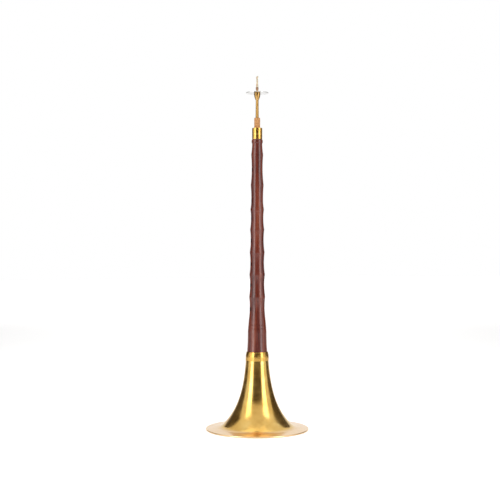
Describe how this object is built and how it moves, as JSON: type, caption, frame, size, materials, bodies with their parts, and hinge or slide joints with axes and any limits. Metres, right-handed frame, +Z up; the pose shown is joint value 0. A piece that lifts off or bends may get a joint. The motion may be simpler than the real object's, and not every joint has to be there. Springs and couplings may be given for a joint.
{
  "type": "suona",
  "caption": "Conical double-reed horn: ridged rosewood pipe with finger holes, brass staple with cork, air disc and cane reed, standing on a flared brass bell.",
  "frame": {"origin": "centre of the bell's rim, on the surface that the bell stands on", "axes": "+Z up the bore from the bell to the reed; the finger holes face -X and the thumb hole faces +X"},
  "size_m": [0.163, 0.163, 0.56],
  "materials": {
    "bell_brass": "polished",
    "steel_wire": "drawn",
    "thread": "waxed cotton",
    "rosewood": "oiled and buffed",
    "cork": "natural",
    "staple_brass": "dulled",
    "silver_plate": "polished plate",
    "copper_wire": "drawn copper",
    "reed_cane": "scraped cane"
  },
  "bodies": {
    "bell": {"bell": "bell_brass", "rim_wire": "steel_wire", "bell_collar": "bell_brass"},
    "thread": {"tenon_thread": "thread"},
    "pipe": {"pipe": "rosewood", "top_ferrule": "bell_brass"},
    "cork": {"staple_cork": "cork"},
    "staple": {"staple_tube": "staple_brass", "disc_seat": "staple_brass"},
    "air_disc": {"air_disc": "silver_plate"},
    "binding": {"reed_wire": "copper_wire"},
    "reed": {"reed": "reed_cane"}
  },
  "joints": [
    {"name": "pipe_slide", "type": "slide", "parent": "bell", "child": "thread", "axis": [0, 0, 1], "range_m": [0, 0.033]},
    {"name": "pipe_turn", "type": "hinge", "parent": "thread", "child": "pipe", "pos_m": [0, 0, 0.108], "axis": [0, 0, 1], "continuous": true},
    {"name": "staple_slide", "type": "slide", "parent": "pipe", "child": "cork", "axis": [0, 0, 1], "range_m": [-0.012, 0.018]},
    {"name": "staple_turn", "type": "hinge", "parent": "cork", "child": "staple", "pos_m": [0, 0, 0.47], "axis": [0, 0, 1], "continuous": true},
    {"name": "air_disc_turn", "type": "hinge", "parent": "staple", "child": "air_disc", "pos_m": [0, 0, 0.5335], "axis": [0, 0, 1], "continuous": true},
    {"name": "reed_slide", "type": "slide", "parent": "staple", "child": "binding", "axis": [0, 0, 1], "range_m": [0, 0.009]},
    {"name": "reed_turn", "type": "hinge", "parent": "binding", "child": "reed", "pos_m": [0, 0, 0.54], "axis": [0, 0, 1], "continuous": true}
  ]
}
